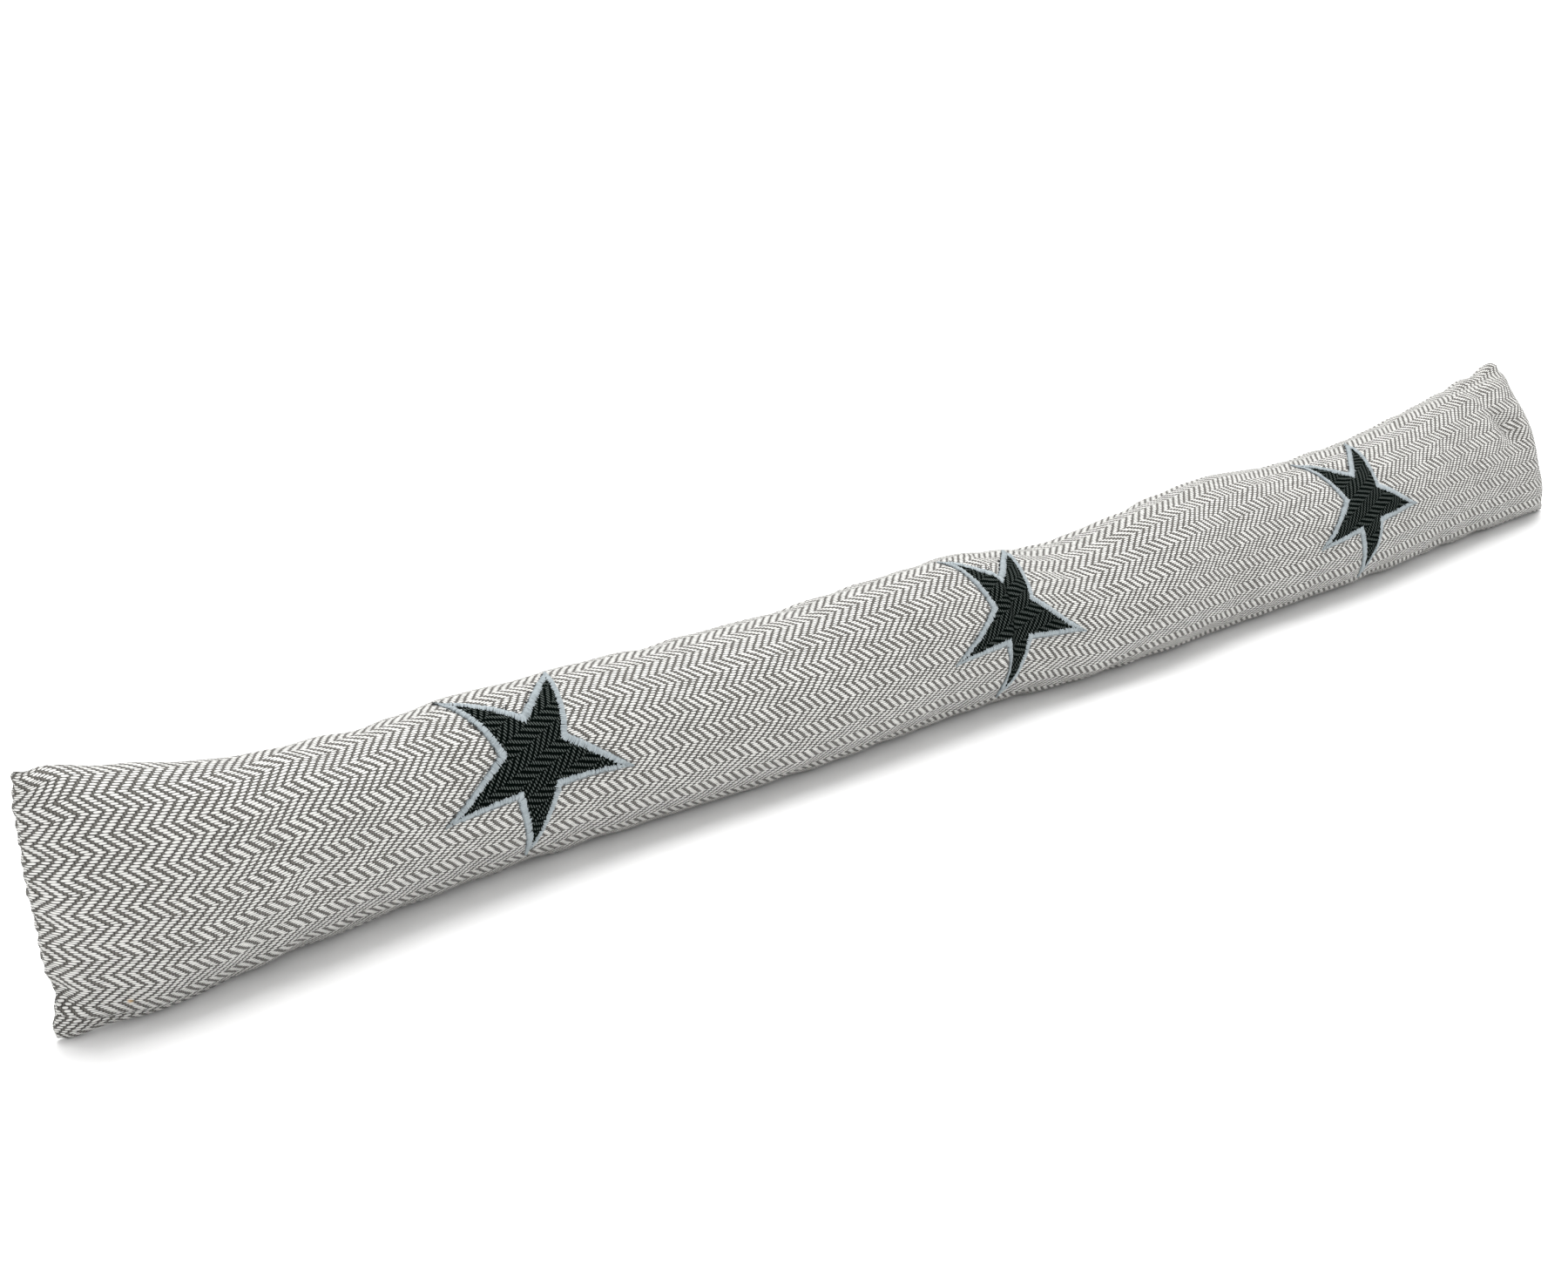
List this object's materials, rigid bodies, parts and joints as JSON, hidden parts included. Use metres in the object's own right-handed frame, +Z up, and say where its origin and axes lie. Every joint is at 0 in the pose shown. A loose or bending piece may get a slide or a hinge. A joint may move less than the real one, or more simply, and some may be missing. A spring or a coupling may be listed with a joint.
{
  "type": "draught excluder",
  "caption": "Long stuffed fabric tube with flat sewn ends and appliqued stars, laid along the foot of a door to stop draughts.",
  "frame": {"origin": "centre of the bounding box at its lowest level, which is the plane that the excluder lies on", "axes": "+X along the tube towards its blunter end, +Z up, -Y is the side with the stars"},
  "size_m": [0.9024, 0.0726, 0.0975],
  "materials": {
    "cover_cloth": "white and warm grey herringbone cloth, matt",
    "star_cloth": "black herringbone cloth with fine pale grey-green floats, matt",
    "star_thread": "pale blue-grey satin-stitch embroidery thread, soft sheen"
  },
  "bodies": {
    "root": {"cover": "cover_cloth", "star_patch_1": "star_cloth", "star_patch_2": "star_cloth", "star_patch_3": "star_cloth", "star_border_1": "star_thread", "star_border_2": "star_thread", "star_border_3": "star_thread"}
  },
  "joints": []
}
